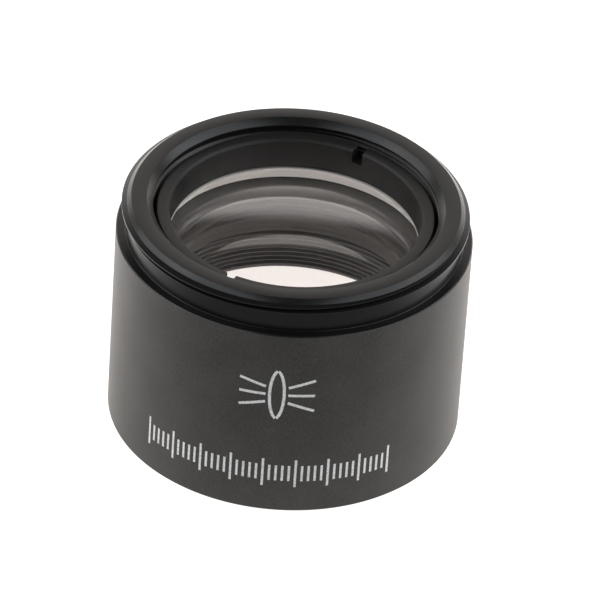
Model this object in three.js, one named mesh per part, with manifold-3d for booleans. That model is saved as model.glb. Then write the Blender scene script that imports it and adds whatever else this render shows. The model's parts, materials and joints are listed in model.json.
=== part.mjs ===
// A two-group barlow lens for a stereo microscope, in millimetres.
// +Z is the optical axis, towards the threaded collar that screws into the microscope.
// The origin is at the centre of the foot face. The whole stack is placed downwards from the collar's top face.
import * as THREE from "three";
import { mergeVertices } from "three/addons/utils/BufferGeometryUtils.js";
import Module from "manifold-3d";

const wasm = await Module();
wasm.setup();

// ---------------------------------------------------------------- driving dimensions

// Barrel, outside
const mountThreadRadius = 24.0; // crest of the M48 x 0.75 male thread
const mountThreadDepth = 0.46;
const mountThreadPitch = 0.75;
const shoulderWidth = 0.65; // how far the body stands out past the thread crest
const shoulderHeight = 29.9; // foot face to the shoulder that seats on the microscope
const collarHeight = 5.0; // shoulder to the top face
const threadReliefDepth = 0.7; // plain neck between the shoulder and the thread, below the crest
const firstCrestDrop = 1.6; // top face to the full thread crest
const collarChamfer = 0.6;
const bodyEdgeChamfer = 0.25;
const footChamfer = 0.4;

// Barrel, inside
const collarWall = 3.6; // from the neck to the retainer's threaded bore
const boreChamfer = 0.85; // at the mouth of the upper bore
const footBoreChamfer = 0.6; // at the mouth of the lower bore
const retainerThreadRelief = 0.6; // how far each threaded bore runs on past its ring
const ledgeThickness = 1.3; // the seat between the two groups
const ledgeChamfer = 0.25;

// Retaining rings
const upperRingHeight = 4.6;
const upperRingRecess = 1.7; // top face of the collar down to the ring
const lowerRingHeight = 3.0;
const ringBoreChamfer = 0.35;
const ringThreadClearance = 0.45; // radial, from the ring to the threaded bore
const spannerSlotWidth = 1.55;
const spannerSlotDepth = 2.0;
const upperSlotAzimuth = 62.5; // degrees from +X
const lowerSlotAzimuth = 20;

// Glass. Each surface is given by its sag across the clear aperture.
const lensFitGap = 0.3; // between glass and metal, on every side
const pocketStep = 0.4; // threaded bore to lens pocket, on radius
const seatWidth = 2.0; // lens edge to the clear aperture
const ringLap = 0.3; // how far a ring's bore stands outside the clear aperture
const cementGap = 0.05;
const upperFrontSag = 1.0; // top surface, domed up
const upperCementSag = 1.0; // cemented surface, dished down
const upperRearSag = 2.1; // rear surface, hollow from below
const flintEdge = 0.9;
const crownEdge = 6.45;
const lowerEdge = 5.0;
const lowerFrontSag = 0.3; // top surface of the lower lens, dished down
const lowerRearSag = 0.4; // its rear surface, bulging downwards

// Fineness
const barrelFacets = 60;
const ringFacets = 48;
const arcSteps = 5;

// ---------------------------------------------------------------- worked-out radii and heights

const bodyRadius = mountThreadRadius + shoulderWidth;
const neckRadius = mountThreadRadius - threadReliefDepth;
const threadRootRadius = mountThreadRadius - mountThreadDepth;
const threadedBoreRadius = neckRadius - collarWall;
const pocketRadius = threadedBoreRadius - pocketStep;
const lensRadius = pocketRadius - lensFitGap;
const apertureRadius = lensRadius - seatWidth;
const ringRadius = threadedBoreRadius - ringThreadClearance;
const ringBoreRadius = apertureRadius + ringLap;

const topZ = shoulderHeight + collarHeight;
const upperRingTop = topZ - upperRingRecess;
const upperRingBottom = upperRingTop - upperRingHeight;
const flintTop = upperRingBottom - lensFitGap;
const crownTop = flintTop - flintEdge - cementGap;
const crownBottom = crownTop - crownEdge;
const ledgeTop = crownBottom - lensFitGap;
const ledgeBottom = ledgeTop - ledgeThickness;
const lowerTop = ledgeBottom - lensFitGap;
const lowerBottom = lowerTop - lowerEdge;
const lowerRingTop = lowerBottom - lensFitGap;
const lowerRingBottom = lowerRingTop - lowerRingHeight;

// ---------------------------------------------------------------- helpers

// Turns an outline of [radius, height] points, walked anticlockwise round the section, about +Z.
function turned(outline, facets) {
  const points = outline.map(([r, z]) => new THREE.Vector2(r, z));
  return new THREE.LatheGeometry(points, facets).rotateX(Math.PI / 2);
}

// Points of a spherical surface from the rim to the axis, rising by sag (or falling, if sag is negative).
function dome(rimRadius, rimZ, sag) {
  const curvature = (rimRadius ** 2 + sag ** 2) / (2 * Math.abs(sag));
  const points = [];
  for (let i = 0; i <= arcSteps; i++) {
    const r = rimRadius * (1 - i / arcSteps);
    const drop = curvature - Math.sqrt(curvature ** 2 - r ** 2);
    points.push([r, rimZ + Math.sign(sag) * (Math.abs(sag) - drop)]);
  }
  return points;
}

function solidOf(geometry) {
  const bare = geometry.clone().deleteAttribute("normal").deleteAttribute("uv");
  const merged = mergeVertices(bare, 1e-4);
  const vertProperties = merged.attributes.position.array;
  const triVerts = new Uint32Array(merged.index.array);
  return new wasm.Manifold(new wasm.Mesh({ numProp: 3, vertProperties, triVerts }));
}

function geometryOf(solid) {
  const { vertProperties, triVerts } = solid.getMesh();
  const geometry = new THREE.BufferGeometry();
  geometry.setAttribute("position", new THREE.BufferAttribute(vertProperties, 3));
  geometry.setIndex(new THREE.BufferAttribute(triVerts, 1));
  geometry.computeVertexNormals();
  return geometry;
}

const anodised = new THREE.MeshStandardMaterial({ color: 0x2a2826, roughness: 0.5, metalness: 0.3 });
const ringBlack = new THREE.MeshStandardMaterial({ color: 0x24211f, roughness: 0.45, metalness: 0.3 });
const clearGlass = new THREE.MeshStandardMaterial({
  color: 0xe6eceb,
  roughness: 0.02,
  metalness: 0,
  transparent: true,
  opacity: 0.35,
});

function part(name, geometry, material) {
  const mesh = new THREE.Mesh(geometry, material);
  mesh.name = name;
  return mesh;
}

// ---------------------------------------------------------------- barrel

function barrel() {
  const crestZ = topZ - firstCrestDrop;
  const flank = mountThreadPitch / 2;
  const chamferZ = topZ - collarChamfer;
  const faceOuter = neckRadius - collarChamfer;
  const upperThreadEnd = upperRingBottom - retainerThreadRelief;
  const lowerThreadEnd = lowerRingTop + retainerThreadRelief;
  const outline = [
    // outside, going up
    [threadedBoreRadius + footBoreChamfer, 0],
    [bodyRadius - footChamfer, 0],
    [bodyRadius, footChamfer],
    [bodyRadius, shoulderHeight - bodyEdgeChamfer],
    [bodyRadius - bodyEdgeChamfer, shoulderHeight],
    [neckRadius, shoulderHeight],
    [neckRadius, crestZ - flank],
    [mountThreadRadius, crestZ - flank / 4],
    [mountThreadRadius, crestZ + flank / 4],
    [threadRootRadius, crestZ + flank],
    [neckRadius, chamferZ],
    [faceOuter, topZ],
    // inside, going down
    [threadedBoreRadius + boreChamfer, topZ],
    [threadedBoreRadius, topZ - boreChamfer],
    [threadedBoreRadius, upperThreadEnd],
    [pocketRadius, upperThreadEnd],
    [pocketRadius, ledgeTop],
    [apertureRadius + ledgeChamfer, ledgeTop],
    [apertureRadius, ledgeTop - ledgeChamfer],
    [apertureRadius, ledgeBottom + ledgeChamfer],
    [apertureRadius + ledgeChamfer, ledgeBottom],
    [pocketRadius, ledgeBottom],
    [pocketRadius, lowerThreadEnd],
    [threadedBoreRadius, lowerThreadEnd],
    [threadedBoreRadius, footBoreChamfer],
    [threadedBoreRadius + footBoreChamfer, 0],
  ];
  return part("barrel", turned(outline, barrelFacets), anodised);
}

// ---------------------------------------------------------------- retaining rings

// slotSide is +1 for spanner slots in the top face and -1 for slots in the bottom face.
function retainingRing(name, bottom, top, slotSide, slotAzimuth) {
  const slottedBore = ringBoreRadius + ringBoreChamfer;
  const outline =
    slotSide > 0
      ? [
          [ringBoreRadius, bottom],
          [ringRadius, bottom],
          [ringRadius, top],
          [slottedBore, top],
          [ringBoreRadius, top - ringBoreChamfer],
          [ringBoreRadius, bottom],
        ]
      : [
          [slottedBore, bottom],
          [ringRadius, bottom],
          [ringRadius, top],
          [ringBoreRadius, top],
          [ringBoreRadius, bottom + ringBoreChamfer],
          [slottedBore, bottom],
        ];
  const ring = solidOf(turned(outline, ringFacets));

  // One bar across the face cuts both opposite slots.
  const margin = 1;
  const bar = new THREE.BoxGeometry(2 * (ringRadius + margin), spannerSlotWidth, spannerSlotDepth + margin);
  const faceZ = slotSide > 0 ? top : bottom;
  bar.rotateZ(THREE.MathUtils.degToRad(slotAzimuth));
  bar.translate(0, 0, faceZ + (slotSide * (margin - spannerSlotDepth)) / 2);
  return part(name, geometryOf(ring.subtract(solidOf(bar))), ringBlack);
}

// ---------------------------------------------------------------- lens elements

// An element with a flat annulus outside any rim that falls short of its edge. A positive sag domes the surface upwards.
function element(name, bottom, bottomRim, bottomSag, top, topRim, topSag) {
  const annulus = (rim, z) => (rim < lensRadius ? [[lensRadius, z]] : []);
  const outline = [
    ...dome(bottomRim, bottom, bottomSag).reverse(),
    ...annulus(bottomRim, bottom),
    ...annulus(topRim, top),
    ...dome(topRim, top, topSag),
  ];
  return part(name, turned(outline, ringFacets), clearGlass);
}

const barlow = new THREE.Group();
barlow.add(
  barrel(),
  retainingRing("upper_retaining_ring", upperRingBottom, upperRingTop, 1, upperSlotAzimuth),
  element("upper_flint", crownTop + cementGap, lensRadius, -upperCementSag, flintTop, ringBoreRadius, upperFrontSag),
  element("upper_crown", crownBottom, apertureRadius, upperRearSag, crownTop, lensRadius, -upperCementSag),
  element("lower_lens", lowerBottom, ringBoreRadius, -lowerRearSag, lowerTop, apertureRadius, -lowerFrontSag),
  retainingRing("lower_retaining_ring", lowerRingBottom, lowerRingTop, -1, lowerSlotAzimuth),
);

export default barlow;
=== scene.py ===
"""A two-group barlow lens for a stereo microscope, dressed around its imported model.

The barrel, the two slotted retaining rings and the three glass elements are turned finely here from the
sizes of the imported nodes, in metres, with the optical axis along +Z and the foot face at Z = 0.
"""

from __future__ import annotations

import json
import logging
import math
from dataclasses import dataclass, field
from enum import Enum

import bmesh
import bpy
from mathutils import Matrix, Vector

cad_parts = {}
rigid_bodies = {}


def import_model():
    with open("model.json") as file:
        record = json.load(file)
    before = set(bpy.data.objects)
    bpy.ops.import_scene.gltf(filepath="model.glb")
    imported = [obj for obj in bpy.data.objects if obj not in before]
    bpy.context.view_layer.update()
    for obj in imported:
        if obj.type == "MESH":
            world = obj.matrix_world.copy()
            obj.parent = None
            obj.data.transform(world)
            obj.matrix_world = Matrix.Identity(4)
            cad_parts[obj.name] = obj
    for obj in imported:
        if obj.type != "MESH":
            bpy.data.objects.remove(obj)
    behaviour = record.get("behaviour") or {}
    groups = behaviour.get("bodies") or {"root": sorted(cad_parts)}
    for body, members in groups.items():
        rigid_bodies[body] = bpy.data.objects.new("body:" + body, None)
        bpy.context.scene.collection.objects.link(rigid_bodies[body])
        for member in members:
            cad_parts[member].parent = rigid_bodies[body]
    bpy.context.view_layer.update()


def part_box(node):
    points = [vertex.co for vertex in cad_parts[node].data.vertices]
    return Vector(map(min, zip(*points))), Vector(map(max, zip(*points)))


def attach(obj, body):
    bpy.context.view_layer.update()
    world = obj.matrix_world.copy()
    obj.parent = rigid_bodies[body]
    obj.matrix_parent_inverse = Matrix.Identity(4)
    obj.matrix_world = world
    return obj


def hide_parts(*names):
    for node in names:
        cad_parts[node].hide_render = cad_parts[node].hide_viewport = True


LOG = logging.getLogger("barlow")
MM = 0.001
TINY = 1e-9
SHARP_EDGE = math.radians(38)

Point = tuple[float, float]
# Radius, height, material slot of the stretch that leaves the corner, and edge break.
Corner = tuple[float, float, int, float]


# ---------------------------------------------------------------- turning


class Zone(Enum):
    """The finished surfaces of a turned piece, by the order of its material slots."""

    MAIN = 0
    TURNED = 1
    FACE = 2
    BORE = 3
    LEDGE = 4


def smoothed(corners: list[Corner], steps: int = 3) -> tuple[list[Point], list[int]]:
    """Replaces each broken corner of a section by a short arc.

    Args:
        corners: The section, walked with the solid on the left hand.
        steps: Stretches in each arc.

    Returns:
        The points, and the material slot of the stretch that leaves each point.
    """
    points: list[Point] = []
    zones: list[int] = []
    for i, (radius, height, zone, rounded) in enumerate(corners):
        here = Vector((radius, height))
        back = Vector(corners[i - 1][:2]) - here
        ahead = Vector(corners[(i + 1) % len(corners)][:2]) - here
        if rounded <= 0 or min(back.length, ahead.length) < TINY:
            points.append((radius, height))
            zones.append(zone)
            continue
        turn = back.angle(ahead)
        setback = min(rounded / math.tan(turn / 2), 0.45 * back.length, 0.45 * ahead.length)
        start = here + back.normalized() * setback
        end = here + ahead.normalized() * setback
        for k in range(steps + 1):
            t = k / steps
            bend = (1 - t) ** 2 * start + 2 * t * (1 - t) * here + t * t * end
            points.append((bend.x, bend.y))
            zones.append(zone if t >= 0.5 else corners[i - 1][2])
    return points, zones


def turn_mesh(name: str, corners: list[Corner], facets: int = 256, closed: bool = True) -> bpy.types.Mesh:
    """Turns a section about the Z axis.

    Args:
        name: Name of the mesh.
        corners: The section.
        facets: Stretches round the axis.
        closed: Whether the last corner joins the first one.

    Returns:
        A closed mesh with smooth faces and sharp edges where the section turns hard.
    """
    points, zones = smoothed(corners)
    work = bmesh.new()
    rings: list[list[bmesh.types.BMVert]] = []
    for radius, height in points:
        if radius < TINY:
            rings.append([work.verts.new((0.0, 0.0, height))])
            continue
        rings.append([
            work.verts.new((radius * math.cos(a), radius * math.sin(a), height))
            for a in (2 * math.pi * k / facets for k in range(facets))
        ])
    last = len(rings) if closed else len(rings) - 1
    for i in range(last):
        low, high = rings[i], rings[(i + 1) % len(rings)]
        if len(low) == 1 and len(high) == 1:
            continue
        for k in range(facets):
            n = (k + 1) % facets
            if len(low) == 1:
                corners = (low[0], high[n], high[k])
            elif len(high) == 1:
                corners = (low[k], low[n], high[0])
            else:
                corners = (low[k], low[n], high[n], high[k])
            face = work.faces.new(corners)
            face.material_index = zones[i]
            face.smooth = True
    mesh = bpy.data.meshes.new(name)
    work.to_mesh(mesh)
    work.free()
    mesh.set_sharp_from_angle(angle=SHARP_EDGE)
    return mesh


def place(name: str, mesh: bpy.types.Mesh, materials: list[bpy.types.Material]) -> bpy.types.Object:
    """Makes an object of a mesh, at the origin.

    Args:
        name: Name of the piece.
        mesh: Its mesh.
        materials: Its material slots, in order.

    Returns:
        The object, linked to the scene.
    """
    piece = bpy.data.objects.new(name, mesh)
    bpy.context.scene.collection.objects.link(piece)
    for material in materials:
        mesh.materials.append(material)
    return piece


def dome(rim: float, rim_z: float, sag: float, steps: int = 24) -> list[Point]:
    """Works out a spherical surface from its rim to the axis.

    Args:
        rim: Radius of the rim, in metres.
        rim_z: Height of the rim, in metres.
        sag: Rise of the surface from rim to axis, in metres, negative where it is dished.
        steps: Stretches from rim to axis.

    Returns:
        The points, rim first.
    """
    radius = (rim**2 + sag**2) / (2 * abs(sag))
    points = []
    for i in range(steps + 1):
        r = rim * (1 - i / steps)
        drop = radius - math.sqrt(radius**2 - r**2)
        points.append((r, rim_z + math.copysign(abs(sag) - drop, sag)))
    return points


# ---------------------------------------------------------------- shader benches


class Bench:
    """Lays out the nodes of one material, world or geometry tree."""

    def __init__(self, tree: bpy.types.NodeTree) -> None:
        """Takes the tree that the nodes go into."""
        self.tree = tree

    def add(self, kind: str, inputs: dict | None = None, **settings: object) -> bpy.types.Node:
        """Adds a node.

        Args:
            kind: Its type, such as ShaderNodeTexNoise.
            inputs: Input name or index to a plain value, or to the output socket that feeds it.
            settings: The node's own properties.

        Returns:
            The node.
        """
        node = self.tree.nodes.new(kind)
        for name, value in settings.items():
            setattr(node, name, value)
        for key, value in (inputs or {}).items():
            self.feed(node, key, value)
        return node

    def feed(self, node: bpy.types.Node, key: str | int, value: object) -> None:
        """Sets one input of a node to a value, or links a socket to it.

        Args:
            node: The node.
            key: Name or index of the input.
            value: A plain value, or an output socket.
        """
        if isinstance(value, bpy.types.NodeSocket):
            self.tree.links.new(value, node.inputs[key])
        else:
            node.inputs[key].default_value = value

    def math(self, operation: str, *values: object) -> bpy.types.NodeSocket:
        """Adds a Math node and returns its output."""
        return self.add("ShaderNodeMath", dict(enumerate(values)), operation=operation).outputs[0]

    def vector(self, x: object = 0.0, y: object = 0.0, z: object = 0.0) -> bpy.types.NodeSocket:
        """Joins three numbers or sockets into a vector and returns it."""
        return self.add("ShaderNodeCombineXYZ", {"X": x, "Y": y, "Z": z}).outputs["Vector"]

    def parts(self, vector: bpy.types.NodeSocket) -> bpy.types.NodeOutputs:
        """Takes a vector apart, and returns its X, Y and Z."""
        return self.add("ShaderNodeSeparateXYZ", {"Vector": vector}).outputs

    def mix(self, share: object, low: object, high: object) -> bpy.types.NodeSocket:
        """Mixes two numbers and returns the result."""
        return self.add("ShaderNodeMix", {0: share, 2: low, 3: high}, data_type="FLOAT").outputs[0]

    def here(self) -> bpy.types.NodeSocket:
        """Adds the object coordinates and returns them."""
        return self.add("ShaderNodeTexCoord").outputs["Object"]

    def noise(
        self, where: bpy.types.NodeSocket, scale: float, detail: float = 3.0, roughness: float = 0.5
    ) -> bpy.types.NodeSocket:
        """Adds a noise.

        Args:
            where: The vector that it is looked up at.
            scale: Lumps in each metre.
            detail: Finer layers added to it.
            roughness: Share of the finer layers.

        Returns:
            Its factor.
        """
        inputs = {"Vector": where, "Scale": scale, "Detail": detail, "Roughness": roughness}
        return self.add("ShaderNodeTexNoise", inputs).outputs["Fac"]

    def remap(
        self, value: object, source: tuple, target: tuple = (0.0, 1.0), smooth: bool = False
    ) -> bpy.types.NodeSocket:
        """Maps one range to another, held at its ends.

        Args:
            value: What is mapped.
            source: The range that it comes from.
            target: The range that it goes to.
            smooth: Whether it eases in and out.

        Returns:
            The mapped value.
        """
        inputs = dict(zip(("Value", "From Min", "From Max", "To Min", "To Max"), (value, *source, *target)))
        kind = "SMOOTHSTEP" if smooth else "LINEAR"
        return self.add("ShaderNodeMapRange", inputs, interpolation_type=kind).outputs["Result"]

    def roughened(self, height: object, depth: float, strength: float = 1.0) -> bpy.types.NodeSocket:
        """Adds a bump and returns its normal."""
        inputs = {"Height": height, "Strength": strength, "Distance": depth}
        return self.add("ShaderNodeBump", inputs).outputs["Normal"]

    def mix_shader(
        self, share: object, low: bpy.types.NodeSocket, high: bpy.types.NodeSocket
    ) -> bpy.types.NodeSocket:
        """Mixes two shaders and returns the result."""
        return self.add("ShaderNodeMixShader", {0: share, 1: low, 2: high}).outputs["Shader"]

    def surface(self, shader: bpy.types.NodeSocket) -> None:
        """Ends a material in a shader."""
        self.add("ShaderNodeOutputMaterial", {"Surface": shader})

    def mix_colour(self, share: object, low: tuple, high: tuple) -> bpy.types.NodeSocket:
        """Adds a colour mix and returns its output.

        Args:
            share: Socket that runs from 0, low, to 1, high.
            low: The first linear colour.
            high: The second linear colour.

        Returns:
            The mixed colour.
        """
        node = self.add("ShaderNodeMix", data_type="RGBA")
        self.feed(node, 0, share)
        for socket, colour in zip([s for s in node.inputs if s.type == "RGBA"], (low, high)):
            socket.default_value = (*colour, 1.0)
        return [s for s in node.outputs if s.type == "RGBA"][0]


def new_material(name: str) -> tuple[bpy.types.Material, Bench]:
    """Starts a node material.

    Args:
        name: Name of the material.

    Returns:
        The material, and a bench on its empty tree.
    """
    material = bpy.data.materials.new(name)
    material.use_nodes = True
    material.node_tree.nodes.clear()
    return material, Bench(material.node_tree)


@dataclass(frozen=True)
class BlackAnodising:
    """Black anodised aluminium: tinted oxide over blasted or turned metal."""

    name: str
    colour: tuple[float, float, float]
    faded: tuple[float, float, float]
    roughness: float
    specular: float
    grain_pitch: float
    grain_depth: float
    turning_pitch: float = 0.0
    turning_depth: float = 0.0
    dust: float = 0.0
    sheen: float = 0.0
    drift_scale: float = 160.0
    grain_share: float = 0.7
    contrast: tuple[float, float] = (0.36, 0.64)
    gloss_spread: tuple[float, float] = (0.9, 1.12)
    lint_scale: float = 420.0
    lint_size: float = 0.05
    lint_cover: float = 0.55

    def material(self) -> bpy.types.Material:
        """Builds the finish: slow colour drift, fine grain, turning marks and specks of dust.

        Returns:
            The material.
        """
        material, bench = new_material(self.name)
        where = bench.here()
        drift = bench.noise(where, self.drift_scale)
        grain = bench.noise(where, 1.0 / self.grain_pitch, 2.0, 0.6)
        slow = bench.math("MULTIPLY", drift, 1.0 - self.grain_share)
        mixed = bench.math("ADD", slow, bench.math("MULTIPLY", grain, self.grain_share))
        height = bench.math("MULTIPLY", grain, self.grain_depth)
        if self.turning_depth > 0:
            height = bench.math("ADD", height, self._turning(bench, where))
        gloss = tuple(self.roughness * share for share in self.gloss_spread)
        shader = bench.add(
            "ShaderNodeBsdfPrincipled",
            {
                "Base Color": bench.mix_colour(bench.remap(mixed, self.contrast), self.colour, self.faded),
                "Roughness": bench.remap(grain, (0.3, 0.7), gloss),
                "Specular IOR Level": self.specular,
                "Sheen Weight": self.sheen,
                "Sheen Roughness": 0.35,
                "Sheen Tint": (1.0, 0.97, 0.94, 1.0),
                "Normal": bench.roughened(height, 1.0),
            },
        )
        result = shader.outputs["BSDF"]
        if self.dust > 0:
            result = self._dusted(bench, where, result)
        bench.surface(result)
        return material

    def _turning(self, bench: Bench, where: bpy.types.NodeSocket) -> bpy.types.NodeSocket:
        """Works out the height of the lathe's fine turning marks.

        Args:
            bench: Bench of the material.
            where: Object coordinates.

        Returns:
            The height, in metres.
        """
        parts = bench.parts(where)
        squares = [bench.math("MULTIPLY", parts[axis], parts[axis]) for axis in ("X", "Y")]
        radius = bench.math("SQRT", bench.math("ADD", *squares))
        line = bench.vector(bench.math("ADD", radius, parts["Z"]))
        marks = bench.noise(line, 1.0 / self.turning_pitch, 3.0, 0.7)
        return bench.math("MULTIPLY", marks, self.turning_depth)

    def _dusted(
        self, bench: Bench, where: bpy.types.NodeSocket, surface: bpy.types.NodeSocket
    ) -> bpy.types.NodeSocket:
        """Scatters pale specks of lint over a surface.

        Args:
            bench: Bench of the material.
            where: Object coordinates.
            surface: The clean surface.

        Returns:
            The dusted surface.
        """
        grid = {"Vector": where, "Scale": self.lint_scale}
        cells = bench.add("ShaderNodeTexVoronoi", grid, feature="F1").outputs
        near = bench.math("LESS_THAN", cells["Distance"], self.lint_size)
        pick = bench.add("ShaderNodeSeparateColor", {"Color": cells["Color"]})
        chosen = bench.math("GREATER_THAN", pick.outputs["Red"], 1.0 - self.dust)
        lint = bench.add("ShaderNodeBsdfDiffuse", {"Color": (0.32, 0.32, 0.31, 1.0)})
        mask = bench.math("MULTIPLY", bench.math("MULTIPLY", near, chosen), self.lint_cover)
        return bench.mix_shader(mask, surface, lint.outputs["BSDF"])


@dataclass(frozen=True)
class PolishedGlass:
    """Polished optical glass that lets the lamps through to what lies under it."""

    name: str
    ior: float
    specular: float = 0.5
    tint: tuple[float, float, float] = (0.995, 0.985, 0.978)

    def material(self) -> bpy.types.Material:
        """Builds the glass.

        Returns:
            The material.
        """
        material, bench = new_material(self.name)
        glass = bench.add(
            "ShaderNodeBsdfPrincipled",
            {
                "Base Color": (*self.tint, 1.0),
                "Roughness": 0.0,
                "IOR": self.ior,
                "Specular IOR Level": self.specular,
                "Transmission Weight": 1.0,
            },
        )
        clear = bench.add("ShaderNodeBsdfTransparent", {"Color": (*self.tint, 1.0)})
        shaded = bench.add("ShaderNodeLightPath").outputs["Is Shadow Ray"]
        bench.surface(bench.mix_shader(shaded, glass.outputs["BSDF"], clear.outputs["BSDF"]))
        return material


@dataclass(frozen=True)
class CementedFace:
    """The cemented pair of surfaces between two elements, which light crosses without a glint."""

    name: str = "cemented_face"
    tint: tuple[float, float, float] = (0.997, 0.990, 0.988)

    def material(self) -> bpy.types.Material:
        """Builds the clear film.

        Returns:
            The material.
        """
        material, bench = new_material(self.name)
        clear = bench.add("ShaderNodeBsdfTransparent", {"Color": (*self.tint, 1.0)})
        bench.surface(clear.outputs["BSDF"])
        return material


@dataclass(frozen=True)
class GroundGlass:
    """The ground edge and bevels of a lens element, grey and finely pitted."""

    name: str = "ground_glass"
    colour: tuple[float, float, float] = (0.95, 0.91, 0.87)

    def material(self) -> bpy.types.Material:
        """Builds the ground surface.

        Returns:
            The material.
        """
        material, bench = new_material(self.name)
        pits = bench.noise(bench.here(), 7000.0)
        shader = bench.add(
            "ShaderNodeBsdfPrincipled",
            {
                "Base Color": bench.mix_colour(pits, tuple(c * 0.8 for c in self.colour), self.colour),
                "Roughness": 0.6,
                "Specular IOR Level": 0.3,
                "Normal": bench.roughened(pits, 0.02 * MM, 0.3),
            },
        )
        bench.surface(shader.outputs["BSDF"])
        return material


@dataclass(frozen=True)
class LaserMark:
    """Pale grey marks burnt into the anodising, with the black showing through in fine grains."""

    name: str = "laser_mark"
    pale: tuple[float, float, float] = (0.98, 0.98, 0.97)
    dark: tuple[float, float, float] = (0.64, 0.64, 0.63)

    def material(self) -> bpy.types.Material:
        """Builds the marking.

        Returns:
            The material.
        """
        material, bench = new_material(self.name)
        grain = bench.noise(bench.here(), 4200.0, 3.0, 0.7)
        shader = bench.add(
            "ShaderNodeBsdfPrincipled",
            {
                "Base Color": bench.mix_colour(bench.remap(grain, (0.36, 0.55)), self.dark, self.pale),
                "Roughness": 0.75,
                "Specular IOR Level": 0.3,
                "Normal": bench.roughened(grain, 0.03 * MM, 0.5),
            },
        )
        bench.surface(shader.outputs["BSDF"])
        return material


# ---------------------------------------------------------------- screw threads


class Recipe:
    """A geometry nodes tree with named sizes, run once to make a plain mesh."""

    def __init__(self, name: str, sizes: dict[str, float | int]) -> None:
        """Starts the tree with its named inputs.

        Args:
            name: Name of what it makes.
            sizes: Each input's name and value, a whole number where it counts something.
        """
        self.name = name
        self.sizes = sizes
        self.tree = bpy.data.node_groups.new(name, "GeometryNodeTree")
        self.tree.is_modifier = True
        face = self.tree.interface
        self.sockets: dict[str, str] = {}
        for label, value in sizes.items():
            kind = "NodeSocketInt" if isinstance(value, int) else "NodeSocketFloat"
            self.sockets[label] = face.new_socket(label, in_out="INPUT", socket_type=kind).identifier
        face.new_socket("Geometry", in_out="OUTPUT", socket_type="NodeSocketGeometry")
        self.bench = Bench(self.tree)
        self.given = self.bench.add("NodeGroupInput").outputs

    def run(self, shape: bpy.types.NodeSocket, material: bpy.types.Material) -> bpy.types.Mesh:
        """Ends the tree and runs it with its sizes.

        Args:
            shape: The geometry that the tree has made.
            material: Its finish.

        Returns:
            A plain mesh.
        """
        add = self.bench.add
        whole = add("GeometryNodeRealizeInstances", {"Geometry": shape}).outputs["Geometry"]
        dressed = add("GeometryNodeSetMaterial", {"Geometry": whole, "Material": material})
        add("NodeGroupOutput", {"Geometry": dressed.outputs["Geometry"]})
        carrier = place(f"{self.name}_seed", bpy.data.meshes.new(f"{self.name}_seed"), [])
        modifier = carrier.modifiers.new("recipe", "NODES")
        modifier.node_group = self.tree
        for label, value in self.sizes.items():
            modifier[self.sockets[label]] = value
        mesh = evaluated(carrier)
        bpy.data.objects.remove(carrier)
        return mesh


@dataclass(frozen=True)
class ScrewThread:
    """A right-handed ridge wound round the axis, sunk a little into the wall it stands on."""

    wall: float
    crest: float
    pitch: float
    low: float
    high: float
    foot_share: float = 0.94
    crest_share: float = 0.14
    start: float = 0.0
    runout: float = 0.12
    runout_limit: float = 0.45
    tip: float = 0.04
    sunk: float = 0.03 * MM
    facets: int = 192
    sharp: float = math.radians(25)

    def ridge(self, name: str, material: bpy.types.Material) -> bpy.types.Mesh:
        """Sweeps the ridge with geometry nodes.

        Args:
            name: Name of the mesh.
            material: Its finish.

        Returns:
            A closed mesh of the ridge alone.
        """
        outward = self.crest > self.wall
        foot = self.wall - (self.sunk if outward else -self.sunk)
        turns = (self.high - self.low) / self.pitch
        recipe = Recipe(name, {
            "Pitch Radius": foot,
            "Turns": turns,
            "Rise": self.high - self.low,
            "Foot Width": self.foot_share * self.pitch,
            "Crest Width": self.crest_share * self.pitch,
            "Depth": abs(self.crest - foot),
            "Turned Profile": -math.pi / 2 if outward else math.pi / 2,
            "Runout": min(self.runout_limit, self.runout / turns),
        })
        bench, given = recipe.bench, recipe.given
        spiral = bench.add(
            "GeometryNodeCurveSpiral",
            {
                "Resolution": self.facets,
                "Rotations": given["Turns"],
                "Start Radius": given["Pitch Radius"],
                "End Radius": given["Pitch Radius"],
                "Height": given["Rise"],
                "Reverse": True,
            },
        ).outputs["Curve"]
        upright = bench.add("GeometryNodeSetCurveNormal", {"Curve": spiral}, mode="Z_UP").outputs["Curve"]
        along = bench.add("GeometryNodeSplineParameter").outputs["Factor"]
        nearest = bench.math("MINIMUM", along, bench.math("SUBTRACT", 1.0, along))
        size = bench.remap(nearest, (0.0, given["Runout"]), (self.tip, 1.0))
        section = bench.add(
            "GeometryNodeCurvePrimitiveQuadrilateral",
            {
                "Bottom Width": given["Foot Width"],
                "Top Width": given["Crest Width"],
                "Height": given["Depth"],
                "Offset": 0.0,
            },
            mode="TRAPEZOID",
        ).outputs["Curve"]
        for move, way in (
            ("Translation", bench.vector(y=bench.math("MULTIPLY", given["Depth"], 0.5))),
            ("Rotation", bench.vector(z=given["Turned Profile"])),
        ):
            section = bench.add("GeometryNodeTransform", {"Geometry": section, move: way}).outputs["Geometry"]
        swept = bench.add(
            "GeometryNodeCurveToMesh",
            {"Curve": upright, "Profile Curve": section, "Scale": size, "Fill Caps": True},
        ).outputs["Mesh"]
        mesh = recipe.run(swept, material)
        mesh.transform(Matrix.Translation((0.0, 0.0, self.low)) @ Matrix.Rotation(self.start, 4, "Z"))
        for polygon in mesh.polygons:
            polygon.use_smooth = True
        mesh.set_sharp_from_angle(angle=self.sharp)
        return mesh


def evaluated(piece: bpy.types.Object) -> bpy.types.Mesh:
    """Copies out a piece's mesh with its modifiers applied, facing outwards.

    Args:
        piece: The piece.

    Returns:
        A plain mesh.
    """
    graph = bpy.context.evaluated_depsgraph_get()
    mesh = bpy.data.meshes.new_from_object(piece.evaluated_get(graph), depsgraph=graph)
    face_outwards(mesh)
    return mesh


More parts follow.
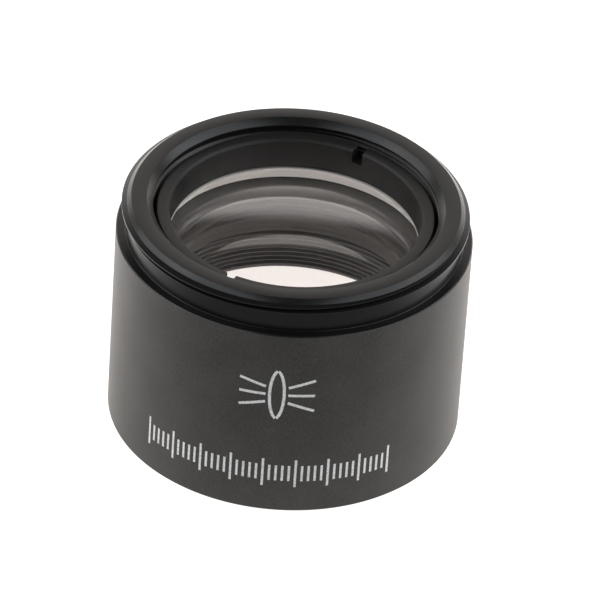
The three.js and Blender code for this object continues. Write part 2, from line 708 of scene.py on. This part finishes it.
def face_outwards(mesh: bpy.types.Mesh) -> None:
    """Turns a closed mesh's faces outwards, judged by its signed volume.

    Args:
        mesh: The mesh, changed in place.
    """
    work = bmesh.new()
    work.from_mesh(mesh)
    bmesh.ops.recalc_face_normals(work, faces=work.faces)
    if work.calc_volume(signed=True) < 0:
        bmesh.ops.reverse_faces(work, faces=work.faces)
    work.to_mesh(mesh)
    work.free()


def joined(name: str, meshes: list[bpy.types.Mesh]) -> bpy.types.Mesh:
    """Joins meshes, each face keeping the number of its material slot.

    Args:
        name: Name of the result.
        meshes: The meshes, each with its own material indices.

    Returns:
        One mesh that holds them all.
    """
    work = bmesh.new()
    for mesh in meshes:
        work.from_mesh(mesh)
    result = bpy.data.meshes.new(name)
    work.to_mesh(result)
    work.free()
    return result


def recast(mesh: bpy.types.Mesh, index: int) -> bpy.types.Mesh:
    """Puts every face of a mesh on one material slot.

    Args:
        mesh: The mesh, changed in place.
        index: The slot.

    Returns:
        The same mesh.
    """
    for polygon in mesh.polygons:
        polygon.material_index = index
    return mesh


# ---------------------------------------------------------------- the pieces


@dataclass(frozen=True)
class Finishes:
    """All the finishes of the object, made once."""

    body: bpy.types.Material
    turned: bpy.types.Material
    face: bpy.types.Material
    bore: bpy.types.Material
    ledge: bpy.types.Material
    ring: bpy.types.Material
    ring_thread: bpy.types.Material
    crown: bpy.types.Material
    coated: bpy.types.Material
    blackened: bpy.types.Material
    flint: bpy.types.Material
    cement: bpy.types.Material
    ground: bpy.types.Material
    mark: bpy.types.Material

    @classmethod
    def mixed(cls) -> "Finishes":
        """Makes every finish of the object.

        Returns:
            The finishes.
        """
        return cls(
            body=BlackAnodising(
                "blasted_black", (0.0225, 0.0212, 0.0192), (0.0545, 0.0515, 0.0470), roughness=0.50,
                specular=0.58, grain_pitch=0.26 * MM, grain_depth=0.010 * MM, dust=0.03, sheen=0.16,
            ).material(),
            turned=BlackAnodising(
                "turned_black", (0.0050, 0.0050, 0.0052), (0.0070, 0.0069, 0.0070), roughness=0.30,
                specular=0.32, grain_pitch=0.30 * MM, grain_depth=0.0012 * MM, turning_pitch=0.06 * MM,
                turning_depth=0.0015 * MM, dust=0.02,
            ).material(),
            face=BlackAnodising(
                "worn_black", (0.0090, 0.0080, 0.0073), (0.0118, 0.0105, 0.0095), roughness=0.38,
                specular=0.28, grain_pitch=0.20 * MM, grain_depth=0.003 * MM, turning_pitch=0.05 * MM,
                turning_depth=0.002 * MM, dust=0.03,
            ).material(),
            bore=BlackAnodising(
                "bore_black", (0.0090, 0.0088, 0.0088), (0.0130, 0.0126, 0.0122), roughness=0.34,
                specular=0.5, grain_pitch=0.25 * MM, grain_depth=0.002 * MM, turning_pitch=0.07 * MM,
                turning_depth=0.002 * MM,
            ).material(),
            ledge=BlackAnodising(
                "ledge_black", (0.0035, 0.0035, 0.0037), (0.0050, 0.0050, 0.0053), roughness=0.13,
                specular=0.60, grain_pitch=0.25 * MM, grain_depth=0.0003 * MM,
            ).material(),
            ring=BlackAnodising(
                "ring_black", (0.0120, 0.0112, 0.0106), (0.0160, 0.0149, 0.0139), roughness=0.46,
                specular=0.24, grain_pitch=0.20 * MM, grain_depth=0.003 * MM, turning_pitch=0.06 * MM,
                turning_depth=0.002 * MM, dust=0.04,
            ).material(),
            ring_thread=BlackAnodising(
                "thread_black", (0.0090, 0.0088, 0.0088), (0.0130, 0.0126, 0.0122), roughness=0.36,
                specular=0.5, grain_pitch=0.25 * MM, grain_depth=0.002 * MM,
            ).material(),
            crown=PolishedGlass("crown_glass", ior=1.52).material(),
            coated=PolishedGlass("coated_glass", ior=1.52, specular=0.2).material(),
            blackened=GroundGlass("blackened_glass", (0.03, 0.03, 0.03)).material(),
            flint=PolishedGlass("flint_glass", ior=1.62).material(),
            cement=CementedFace().material(),
            ground=GroundGlass().material(),
            mark=LaserMark().material(),
        )


@dataclass
class Heights:
    """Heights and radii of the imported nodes, in metres, read from their boxes."""

    foot: float
    top: float
    body_radius: float
    upper_ring: tuple[float, float]
    lower_ring: tuple[float, float]
    flint: tuple[float, float]
    crown: tuple[float, float]
    lower_lens: tuple[float, float]
    ring_radius: float
    lens_radius: float

    @classmethod
    def measured(cls) -> "Heights":
        """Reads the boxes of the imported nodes.

        Returns:
            The sizes.
        """

        def span(node: str) -> tuple[float, float]:
            """Reads a node's lowest and highest point."""
            low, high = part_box(node)
            return low.z, high.z

        def radius(node: str) -> float:
            """Reads a node's radius."""
            low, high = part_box(node)
            return (high.x - low.x) / 2

        foot, top = span("barrel")
        return cls(
            foot, top, radius("barrel"), span("upper_retaining_ring"), span("lower_retaining_ring"),
            span("upper_flint"), span("upper_crown"), span("lower_lens"), radius("upper_retaining_ring"),
            radius("upper_flint"),
        )


@dataclass
class Barrel:
    """The turned barrel: body, shoulder, threaded collar, two threaded bores and the ledge between them."""

    sizes: Heights
    finishes: Finishes
    shoulder_drop: float = 5.0 * MM
    neck_radius: float = 23.3 * MM
    crest_radius: float = 24.0 * MM
    face_outer: float = 22.7 * MM
    bore_radius: float = 19.7 * MM
    lower_wall: float = 20.25 * MM
    upper_wall: float = 20.1 * MM
    pocket_radius: float = 19.3 * MM
    aperture_radius: float = 17.0 * MM
    ledge: tuple[float, float] = (19.3 * MM, 20.6 * MM)
    foot_mouth: float = 0.75 * MM
    foot_break: float = 0.40 * MM
    shoulder_break: float = 0.16 * MM
    collar_break: float = 0.60 * MM
    top_mouth: float = 0.85 * MM
    mouth_land: float = 0.20 * MM
    lead_in: float = 0.20 * MM
    run_in: float = 0.50 * MM
    relief: float = 0.60 * MM
    soft: float = 0.10 * MM
    crisp: float = 0.05 * MM
    neck_fillet: float = 0.15 * MM
    ledge_round: float = 0.20 * MM

    def _section(self, upper_end: float, lower_end: float) -> list[Corner]:
        """Lays out the section of the turning.

        Args:
            upper_end: Foot of the upper thread's wall, in metres.
            lower_end: Head of the lower thread's wall, in metres.

        Returns:
            Its corners, from the foot up the outside and down the bores.
        """
        foot, top, body = self.sizes.foot, self.sizes.top, self.sizes.body_radius
        bore, wall, pocket, hole = self.bore_radius, self.upper_wall, self.pocket_radius, self.aperture_radius
        shoulder = top - self.shoulder_drop
        land = top - self.top_mouth - self.mouth_land
        main, turned, worn, bored, ledge = (zone.value for zone in Zone)
        soft, crisp, rounded = self.soft, self.crisp, self.ledge_round
        return [
            (bore + self.foot_mouth, foot, main, soft),
            (body - self.foot_break, foot, main, soft),
            (body, foot + self.foot_break, main, soft),
            (body, shoulder - self.shoulder_break, turned, crisp),
            (body - self.shoulder_break, shoulder, turned, crisp),
            (self.neck_radius, shoulder, turned, self.neck_fillet),
            (self.neck_radius, top - self.collar_break, turned, crisp),
            (self.face_outer, top, worn, crisp),
            (bore + self.top_mouth, top, turned, crisp),
            (bore, top - self.top_mouth, bored, crisp),
            (bore, land, bored, 0.0),
            (wall, land - self.lead_in, bored, 0.0),
            (wall, upper_end, bored, 0.0),
            (pocket, upper_end, bored, 0.0),
            (pocket, self.ledge[1], ledge, crisp),
            (hole, self.ledge[1], ledge, rounded),
            (hole, self.ledge[0], ledge, rounded),
            (pocket, self.ledge[0], bored, 0.0),
            (pocket, lower_end, bored, 0.0),
            (self.lower_wall, lower_end, bored, 0.0),
            (self.lower_wall, foot + self.run_in, turned, crisp),
        ]

    def _threads(self, upper_end: float, lower_end: float) -> list[tuple[ScrewThread, Zone]]:
        """Lists the threads: in the upper bore, in the lower bore and on the collar.

        Args:
            upper_end: Foot of the upper thread's wall, in metres.
            lower_end: Head of the lower thread's wall, in metres.

        Returns:
            Each thread, with the zone whose finish it takes.
        """
        foot, top = self.sizes.foot, self.sizes.top
        upper = ScrewThread(
            self.upper_wall, self.bore_radius, pitch=0.75 * MM, low=upper_end + 0.5 * MM, high=top - 1.7 * MM
        )
        lower = ScrewThread(
            self.lower_wall, self.bore_radius, pitch=1.0 * MM, low=foot + 1.0 * MM, high=lower_end - 0.6 * MM,
            crest_share=0.2,
        )
        mount = ScrewThread(
            self.neck_radius, self.crest_radius, pitch=0.75 * MM, low=top - 1.9 * MM, high=top - 0.75 * MM,
            foot_share=0.9, crest_share=0.3, start=math.radians(150), runout=0.25,
        )
        return [(upper, Zone.BORE), (lower, Zone.BORE), (mount, Zone.TURNED)]

    def build(self) -> bpy.types.Object:
        """Turns the barrel, winds its threads and hands it to the frame.

        Returns:
            The piece.
        """
        ends = (self.sizes.upper_ring[0] - self.relief, self.sizes.lower_ring[1] + self.relief)
        parts = [turn_mesh("barrel_turned", self._section(*ends), facets=288)]
        for number, (thread, zone) in enumerate(self._threads(*ends)):
            ridge = thread.ridge(f"barrel_thread_{number}", self.finishes.turned)
            parts.append(recast(ridge, zone.value))
        f = self.finishes
        finishes = [f.body, f.turned, f.face, f.bore, f.ledge]
        piece = place("barrel_body", joined("barrel_body", parts), finishes)
        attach(piece, "barrel")
        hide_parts("barrel")
        LOG.info("barrel_body: %d faces", len(piece.data.polygons))
        return piece


class SlotSide(Enum):
    """The face of a ring that its spanner slots are cut in, by the way that the face looks."""

    HEAD = 1
    FOOT = -1


@dataclass
class RetainingRing:
    """A threaded ring that holds a lens down, with two spanner slots across one face."""

    name: str
    node: str
    body: str
    span: tuple[float, float]
    radius: float
    finishes: Finishes
    slot_side: SlotSide
    slot_azimuth: float
    pitch: float
    bore_radius: float = 17.3 * MM
    slot_width: float = 1.55 * MM
    slot_depth: float = 2.0 * MM
    slot_flare: float = 0.10 * MM
    slot_floor_break: float = 0.12 * MM
    thread_depth: float = 0.35 * MM
    land: float = 0.40 * MM
    edge: float = 0.08 * MM
    lead_in: float = 0.25 * MM
    head_break: float = 0.20 * MM
    slotted_mouth: float = 0.35 * MM
    plain_mouth: float = 0.12 * MM

    def build(self) -> bpy.types.Object:
        """Turns the ring, mills its slots and hands it to the frame.

        Returns:
            The piece.
        """
        low, high = self.span
        bore, radius, edge = self.bore_radius, self.radius, self.edge
        root = radius - self.thread_depth
        mouths = (self.slotted_mouth, self.plain_mouth)
        top_mouth, foot_mouth = mouths if self.slot_side is SlotSide.HEAD else mouths[::-1]
        corners = [
            (bore + foot_mouth, low, 0, edge),
            (radius - self.lead_in, low, 0, edge),
            (radius, low + self.lead_in, 0, 0.0),
            (radius, low + self.land, 0, 0.0),
            (root, low + self.land + self.lead_in, 1, 0.0),
            (root, high - self.land - self.lead_in, 0, 0.0),
            (radius, high - self.land, 0, 0.0),
            (radius, high - self.head_break, 0, edge),
            (radius - self.head_break, high, 0, edge),
            (bore + top_mouth, high, 0, edge),
            (bore, high - top_mouth, 0, edge),
            (bore, low + foot_mouth, 0, edge),
        ]
        ring = turn_mesh(f"{self.name}_turned", corners)
        thread = ScrewThread(root, radius, self.pitch, low + 2 * self.land, high - 2 * self.land)
        ridge = thread.ridge(f"{self.name}_thread", self.finishes.ring_thread)
        ridge.materials.clear()
        cutter = self._mill()
        meshes = [self._milled(ring, cutter), recast(self._milled(ridge, cutter), 1)]
        bpy.data.objects.remove(cutter)
        finishes = [self.finishes.ring, self.finishes.ring_thread]
        piece = place(self.name, joined(self.name, meshes), finishes)
        piece.data.set_sharp_from_angle(angle=SHARP_EDGE)
        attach(piece, self.body)
        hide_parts(self.node)
        LOG.info("%s: %d faces", self.name, len(piece.data.polygons))
        return piece

    def _mill(self) -> bpy.types.Object:
        """Makes the bar that cuts both slots, flared at the face so that their edges are broken.

        Returns:
            The bar, as an object of its own.
        """
        side = self.slot_side.value
        face = max(side * z for z in self.span) * side
        half = self.slot_width / 2
        flare, deep, corner = self.slot_flare, self.slot_depth, self.slot_floor_break
        over = 0.4 * MM
        right = [(half - corner, -deep), (half, corner - deep), (half, -flare), (half + flare + over, over)]
        section = right + [(-x, z) for x, z in right[::-1]]
        reach = self.radius + 1.0 * MM
        work = bmesh.new()
        ends = [[work.verts.new((x, y, face + side * z)) for y, z in section] for x in (-reach, reach)]
        for i in range(len(section)):
            n = (i + 1) % len(section)
            work.faces.new((ends[0][i], ends[0][n], ends[1][n], ends[1][i]))
        for end in ends:
            work.faces.new(end)
        bmesh.ops.recalc_face_normals(work, faces=work.faces)
        swing = Matrix.Rotation(math.radians(self.slot_azimuth), 3, "Z")
        bmesh.ops.rotate(work, verts=work.verts, cent=(0, 0, 0), matrix=swing)
        mesh = bpy.data.meshes.new(f"{self.name}_mill")
        work.to_mesh(mesh)
        work.free()
        return place(f"{self.name}_mill", mesh, [])

    def _milled(self, mesh: bpy.types.Mesh, cutter: bpy.types.Object) -> bpy.types.Mesh:
        """Cuts the slots out of a mesh.

        Args:
            mesh: A closed mesh.
            cutter: The bar.

        Returns:
            The cut mesh.
        """
        blank = place(f"{mesh.name}_blank", mesh, [])
        cut = blank.modifiers.new("slots", "BOOLEAN")
        cut.operation = "DIFFERENCE"
        cut.solver = "EXACT"
        cut.object = cutter
        result = evaluated(blank)
        bpy.data.objects.remove(blank)
        return result


@dataclass(frozen=True)
class LensFace:
    """One spherical face of an element: radius of its rim, and rise from rim to axis."""

    rim: float
    sag: float
    cemented: bool = False


@dataclass
class LensElement:
    """One glass element: polished or cemented faces, flat ground rims and a ground edge."""

    name: str
    node: str
    body: str
    span: tuple[float, float]
    radius: float
    bottom: LensFace
    top: LensFace
    glass: bpy.types.Material
    edge: bpy.types.Material
    finishes: Finishes
    bevel: float = 0.12 * MM

    def _section(self) -> list[Corner]:
        """Lays out the section, from the axis under the element round its edge to the axis above it.

        Returns:
            Its corners.
        """
        polished, ground, cement = 0, 1, 2
        foot = self.span[0] - min(self.bottom.sag, 0.0)
        head = self.span[1] - max(self.top.sag, 0.0)
        flat = self.radius - self.bevel
        zone = cement if self.bottom.cemented else polished
        corners = [(r, z, zone, 0.0) for r, z in dome(self.bottom.rim, foot, self.bottom.sag)[::-1]]
        corners[-1] = (*corners[-1][:2], polished, 0.0)
        if self.bottom.rim < flat:
            corners.append((flat, foot, ground, 0.0))
        corners += [(self.radius, z, ground, 0.0) for z in (foot + self.bevel, head - self.bevel)]
        if self.top.rim < flat:
            corners.append((flat, head, ground, 0.0))
        zone = cement if self.top.cemented else polished
        return corners + [(r, z, zone, 0.0) for r, z in dome(self.top.rim, head, self.top.sag)]

    def build(self) -> bpy.types.Object:
        """Turns the element and hands it to the frame.

        Returns:
            The piece.
        """
        mesh = turn_mesh(f"{self.name}_turned", self._section(), closed=False)
        piece = place(self.name, mesh, [self.glass, self.edge, self.finishes.cement])
        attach(piece, self.body)
        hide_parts(self.node)
        LOG.info("%s: %d faces", self.name, len(mesh.polygons))
        return piece


# ---------------------------------------------------------------- marks on the barrel


@dataclass
class LensEmblem:
    """A plain diagram of a lens, its axis and two rays, marked on the front of the barrel."""

    sizes: Heights
    finishes: Finishes
    azimuth: float = -92.0
    centre: float = 20.0 * MM
    height: float = 8.0 * MM
    bulge: float = 1.15 * MM
    tuck: float = 0.15 * MM
    tip: float = math.radians(80)
    gap: float = 0.55 * MM
    reach: float = 5.2 * MM
    spread: float = 2.3 * MM
    near_share: float = 0.55
    far_share: float = 1.1
    steps: int = 24
    stroke: float = 0.42 * MM
    stretch: float = 0.5 * MM
    proud: float = 0.012 * MM
    sunk: float = 0.04 * MM

    def strokes(self) -> list[list[Point]]:
        """Lays out the strokes of the diagram.

        Returns:
            Each stroke's middle line, as points about the diagram's centre.
        """
        half = self.height / 2
        tips = [self.tip * (2 * i / self.steps - 1) for i in range(self.steps + 1)]
        right = [(self.bulge * math.cos(t) - self.tuck, half * math.sin(t)) for t in tips]
        edge = self.bulge + self.gap - self.tuck
        reach, spread = self.reach, self.spread
        near = spread * self.near_share
        far = spread * self.far_share
        return [
            right,
            [(-x, y) for x, y in right],
            [(-reach, 0.0), (-edge, 0.0)],
            [(edge, 0.0), (reach, 0.0)],
            [(-reach, spread), (-edge, near)],
            [(-reach, -spread), (-edge, -near)],
            [(edge, near), (reach, far)],
            [(edge, -near), (reach, -far)],
        ]

    def build(self) -> bpy.types.Object:
        """Cuts the strokes as thin slabs bent round the barrel.

        Returns:
            The piece.
        """
        work = bmesh.new()
        for line in self.strokes():
            self._slab(work, line)
        bmesh.ops.recalc_face_normals(work, faces=work.faces)
        mesh = bpy.data.meshes.new("lens_emblem")
        work.to_mesh(mesh)
        work.free()
        piece = place("lens_emblem", mesh, [self.finishes.mark])
        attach(piece, "barrel")
        LOG.info("lens_emblem: %d faces", len(mesh.polygons))
        return piece

    def _slab(self, work: bmesh.types.BMesh, line: list[Point]) -> None:
        """Adds one stroke.

        Args:
            work: The mesh under work.
            line: Points of its middle line.
        """
        fine: list[Vector] = []
        for start, end in zip(line, line[1:]):
            pieces = max(1, round((Vector(end) - Vector(start)).length / self.stretch))
            fine += [Vector(start).lerp(Vector(end), k / pieces) for k in range(pieces)]
        fine.append(Vector(line[-1]))
        rows = []
        for i, point in enumerate(fine):
            ahead = fine[min(i + 1, len(fine) - 1)] - fine[max(i - 1, 0)]
            across = Vector((-ahead.y, ahead.x)).normalized() * self.stroke / 2
            outer, inner = self.proud, -self.sunk
            corners = ((across, outer), (-across, outer), (-across, inner), (across, inner))
            rows.append([work.verts.new(self._bent(point + way, lift)) for way, lift in corners])
        for near, far in zip(rows, rows[1:]):
            for k in range(4):
                n = (k + 1) % 4
                work.faces.new((near[k], near[n], far[n], far[k]))
        work.faces.new(rows[0])
        work.faces.new(rows[-1][::-1])

    def _bent(self, flat: Vector, lift: float) -> tuple[float, float, float]:
        """Bends a flat point onto the barrel.

        Args:
            flat: The point, about the diagram's centre.
            lift: How far it stands off the wall, negative where it is sunk into it.

        Returns:
            Its place.
        """
        radius = self.sizes.body_radius + lift
        angle = math.radians(self.azimuth) + flat.x / self.sizes.body_radius
        return radius * math.cos(angle), radius * math.sin(angle), self.centre + flat.y


@dataclass
class TickRow:
    """A row of plain upright tick marks round the front of the barrel, every fifth one taller."""

    sizes: Heights
    finishes: Finishes
    start: float = -137.0
    end: float = -53.0
    count: int = 41
    centre: float = 6.7 * MM
    short: float = 2.6 * MM
    tall: float = 4.6 * MM
    stroke: float = 0.34 * MM
    thickness: float = 0.08 * MM
    proud: float = 0.012 * MM
    tall_every: int = 5

    def build(self) -> bpy.types.Object:
        """Sets the ticks out along an arc with geometry nodes.

        Returns:
            The piece.
        """
        recipe = Recipe("tick_row", {
            "Radius": self.sizes.body_radius + self.proud - self.thickness / 2,
            "Start Angle": math.radians(self.start),
            "Sweep Angle": math.radians(self.end - self.start),
            "Short": self.short,
            "Tall": self.tall,
            "Stroke": self.stroke,
            "Thickness": self.thickness,
            "Height": self.centre,
            "Count": self.count,
            "Tall Every": self.tall_every,
        })
        bench, given = recipe.bench, recipe.given
        number = bench.add("GeometryNodeInputIndex").outputs["Index"]
        share = bench.math("DIVIDE", number, bench.math("SUBTRACT", given["Count"], 1.0))
        angle = bench.math("MULTIPLY_ADD", share, given["Sweep Angle"], given["Start Angle"])
        east = bench.math("MULTIPLY", bench.math("COSINE", angle), given["Radius"])
        north = bench.math("MULTIPLY", bench.math("SINE", angle), given["Radius"])
        spot = bench.vector(east, north, given["Height"])
        points = bench.add("GeometryNodePoints", {"Count": given["Count"], "Position": spot}).outputs[0]
        is_tall = bench.math("LESS_THAN", bench.math("MODULO", number, given["Tall Every"]), 0.5)
        length = bench.remap(is_tall, (0.0, 1.0), (given["Short"], given["Tall"]))
        unit = bench.vector(given["Thickness"], given["Stroke"], 1.0)
        placed = bench.add(
            "GeometryNodeInstanceOnPoints",
            {
                "Points": points,
                "Instance": bench.add("GeometryNodeMeshCube", {"Size": unit}).outputs["Mesh"],
                "Rotation": bench.vector(z=angle),
                "Scale": bench.vector(1.0, 1.0, length),
            },
        ).outputs["Instances"]
        mesh = recipe.run(placed, self.finishes.mark)
        mesh.materials.clear()
        piece = place("tick_row", mesh, [self.finishes.mark])
        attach(piece, "barrel")
        LOG.info("tick_row: %d faces", len(mesh.polygons))
        return piece


# ---------------------------------------------------------------- studio


@dataclass(frozen=True)
class SoftBox:
    """A flat soft light, set by its direction from the object, facing it."""

    name: str
    azimuth: float
    elevation: float
    width: float
    height: float
    glow: float
    colour: tuple[float, float, float] = (1.0, 1.0, 1.0)
    distance: float = 0.6
    target: float = 30.0 * MM

    def hang(self) -> bpy.types.Object:
        """Hangs the light so that its surface glows at the wanted radiance.

        Returns:
            The light.
        """
        lamp = bpy.data.lights.new(self.name, "AREA")
        lamp.shape = "RECTANGLE"
        lamp.size = self.width
        lamp.size_y = self.height
        lamp.energy = self.glow * math.pi * self.width * self.height
        lamp.color = self.colour
        light = bpy.data.objects.new(self.name, lamp)
        bpy.context.scene.collection.objects.link(light)
        azimuth = math.radians(self.azimuth)
        elevation = math.radians(self.elevation)
        flat = math.cos(elevation)
        direction = Vector((math.cos(azimuth) * flat, math.sin(azimuth) * flat, math.sin(elevation)))
        light.location = Vector((0.0, 0.0, self.target)) + direction * self.distance
        light.rotation_euler = direction.to_track_quat("Z", "Y").to_euler()
        return light


@dataclass
class Studio:
    """White floor, soft boxes, surrounding light and the camera."""

    aim: Vector = field(default_factory=lambda: Vector((0.0, 0.0, 17.0 * MM)))
    distance: float = 872.18 * MM
    elevation: float = 35.954
    roll: float = 3.895
    lens: float = 376.4
    slide_right: float = 1.398 * MM
    slide_up: float = 1.013 * MM
    sensor: float = 36.0
    clip: tuple[float, float] = (0.05, 10.0)
    floor_size: float = 1.2
    floor_drop: float = 0.02 * MM
    floor_paint: float = 0.35
    floor_tint: tuple[float, float, float] = (1.0, 0.955, 0.925)
    floor_glow: float = 1.10
    # Painted light: the floor's glow in reflections, dim in front and bright behind, and its extra glow under
    # the bore for scattered rays.
    floor_front: float = 0.15
    floor_back: float = 2.0
    fade_reach: float = 60.0 * MM
    bore_reach: float = 21.0 * MM
    bore_glow_boost: float = 3.4
    sky_tint: tuple[float, float, float] = (1.0, 0.96, 0.93)
    backdrop: float = 2.2
    backdrop_height: tuple[float, float] = (0.50, 0.55)
    backdrop_depth: tuple[float, float] = (0.58, 0.80)
    surround: float = 0.08

    def build(self) -> None:
        """Lights the scene and sets the camera."""
        scene = bpy.context.scene
        scene.view_settings.view_transform = "Standard"
        self._floor()
        self._world()
        cool = (0.93, 0.965, 1.0)
        SoftBox("left_box", -148.0, 46.0, 0.62, 0.20, 2.7, cool).hang()
        SoftBox("right_box", -16.0, 42.0, 0.95, 0.34, 2.3, cool).hang()
        SoftBox("left_card", 176.0, 24.0, 0.50, 0.40, 2.6).hang()
        SoftBox("right_card", 6.0, 20.0, 0.50, 0.36, 1.5).hang()
        self._camera()

    def _floor(self) -> None:
        """Lays a white floor that glows as painted light. It glows pure white to the eye and under the bore,
        and glows brighter still under the bore for scattered rays. In reflections its glow fades towards the
        camera.
        """
        material, bench = new_material("white_floor")
        paint = bench.add("ShaderNodeBsdfDiffuse", {"Color": (*(self.floor_paint,) * 3, 1.0)})
        spot = bench.here()
        ends = (-self.fade_reach, self.fade_reach)
        # Painted light: for reflected and scattered rays the floor's glow runs from dim in front to bright
        # behind.
        fade = bench.remap(bench.parts(spot)["Y"], ends, (self.floor_front, self.floor_back), smooth=True)
        span = bench.add("ShaderNodeVectorMath", {0: spot}, operation="LENGTH").outputs["Value"]
        path = bench.add("ShaderNodeLightPath").outputs
        under = bench.math("LESS_THAN", span, self.bore_reach)
        seen = bench.math("MAXIMUM", path["Is Camera Ray"], under)
        level = bench.mix(seen, fade, self.floor_glow)
        scattered = bench.math("MINIMUM", path["Diffuse Depth"], 1.0)
        # Painted light: scattered rays that reach the floor under the bore find it glowing several times
        # brighter, which lights the lens edges from below.
        boosted_glow = bench.math("MULTIPLY", bench.math("MULTIPLY", scattered, under), self.bore_glow_boost)
        shine = {"Color": (*self.floor_tint, 1.0), "Strength": bench.math("ADD", level, boosted_glow)}
        glow = bench.add("ShaderNodeEmission", shine).outputs["Emission"]
        both = bench.add("ShaderNodeAddShader", {0: paint.outputs["BSDF"], 1: glow})
        bench.surface(both.outputs["Shader"])
        work = bmesh.new()
        bmesh.ops.create_grid(work, x_segments=4, y_segments=4, size=self.floor_size)
        bmesh.ops.translate(work, verts=work.verts, vec=(0.0, 0.0, -self.floor_drop))
        mesh = bpy.data.meshes.new("floor")
        work.to_mesh(mesh)
        work.free()
        place("floor", mesh, [material])

    def _world(self) -> None:
        """Fills the surroundings: a pale backdrop low behind the object, dark above and in front."""
        world = bpy.data.worlds.new("surround")
        bpy.context.scene.world = world
        world.use_nodes = True
        world.node_tree.nodes.clear()
        bench = Bench(world.node_tree)
        eye = bench.add("ShaderNodeLightPath").outputs["Is Camera Ray"]
        ways = bench.parts(bench.add("ShaderNodeTexCoord").outputs["Generated"])
        low = bench.remap(ways["Z"], self.backdrop_height, (1.0, 0.0), smooth=True)
        behind = bench.remap(ways["Y"], self.backdrop_depth, smooth=True)
        glow = bench.math("MULTIPLY", bench.math("MULTIPLY", low, behind), self.backdrop)
        strength = bench.mix(eye, bench.math("ADD", glow, self.surround), 1.0)
        sky = bench.add("ShaderNodeBackground", {"Color": (*self.sky_tint, 1.0), "Strength": strength})
        bench.add("ShaderNodeOutputWorld", {"Surface": sky.outputs["Background"]})

    def _camera(self) -> None:
        """Sets the camera, aimed, rolled and slid sideways."""
        eye = bpy.data.cameras.new("camera")
        eye.lens = self.lens
        eye.sensor_width = self.sensor
        eye.clip_start, eye.clip_end = self.clip
        camera = bpy.data.objects.new("camera", eye)
        bpy.context.scene.collection.objects.link(camera)
        elevation = math.radians(self.elevation)
        back = Vector((0.0, -math.cos(elevation), math.sin(elevation)))
        right = Vector((1.0, 0.0, 0.0))
        up = back.cross(right)
        position = self.aim + back * self.distance + right * self.slide_right + up * self.slide_up
        axes = Matrix((right, up, back)).transposed().to_4x4()
        tilt = Matrix.Rotation(math.radians(self.roll), 4, "Z")
        camera.matrix_world = Matrix.Translation(position) @ axes @ tilt
        bpy.context.scene.camera = camera


def main() -> None:
    """Loads the frame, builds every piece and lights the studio."""
    logging.basicConfig(level=logging.INFO, format="%(name)s: %(message)s")
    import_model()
    sizes = Heights.measured()
    finishes = Finishes.mixed()
    Barrel(sizes, finishes).build()
    RetainingRing(
        "upper_ring_turned", "upper_retaining_ring", "upper_ring", sizes.upper_ring, sizes.ring_radius,
        finishes, SlotSide.HEAD, slot_azimuth=62.5, pitch=0.75 * MM,
    ).build()
    RetainingRing(
        "lower_ring_turned", "lower_retaining_ring", "lower_ring", sizes.lower_ring, sizes.ring_radius,
        finishes, SlotSide.FOOT, slot_azimuth=20.0, pitch=1.0 * MM,
    ).build()
    radius = sizes.lens_radius
    cemented = LensFace(radius, sag=-1.0 * MM, cemented=True)
    LensElement(
        "upper_flint_glass", "upper_flint", "upper_lens", sizes.flint, radius,
        cemented, LensFace(17.3 * MM, sag=1.0 * MM), finishes.flint, finishes.ground, finishes,
    ).build()
    LensElement(
        "upper_crown_glass", "upper_crown", "upper_lens", sizes.crown, radius,
        LensFace(17.0 * MM, sag=2.1 * MM), cemented, finishes.crown, finishes.ground, finishes,
    ).build()
    LensElement(
        "lower_lens_glass", "lower_lens", "lower_lens", sizes.lower_lens, radius,
        LensFace(17.3 * MM, sag=-0.4 * MM), LensFace(17.0 * MM, sag=-0.3 * MM), finishes.coated,
        finishes.blackened, finishes,
    ).build()
    LensEmblem(sizes, finishes).build()
    TickRow(sizes, finishes).build()
    Studio().build()
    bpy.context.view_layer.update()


if __name__ == "__main__":
    main()
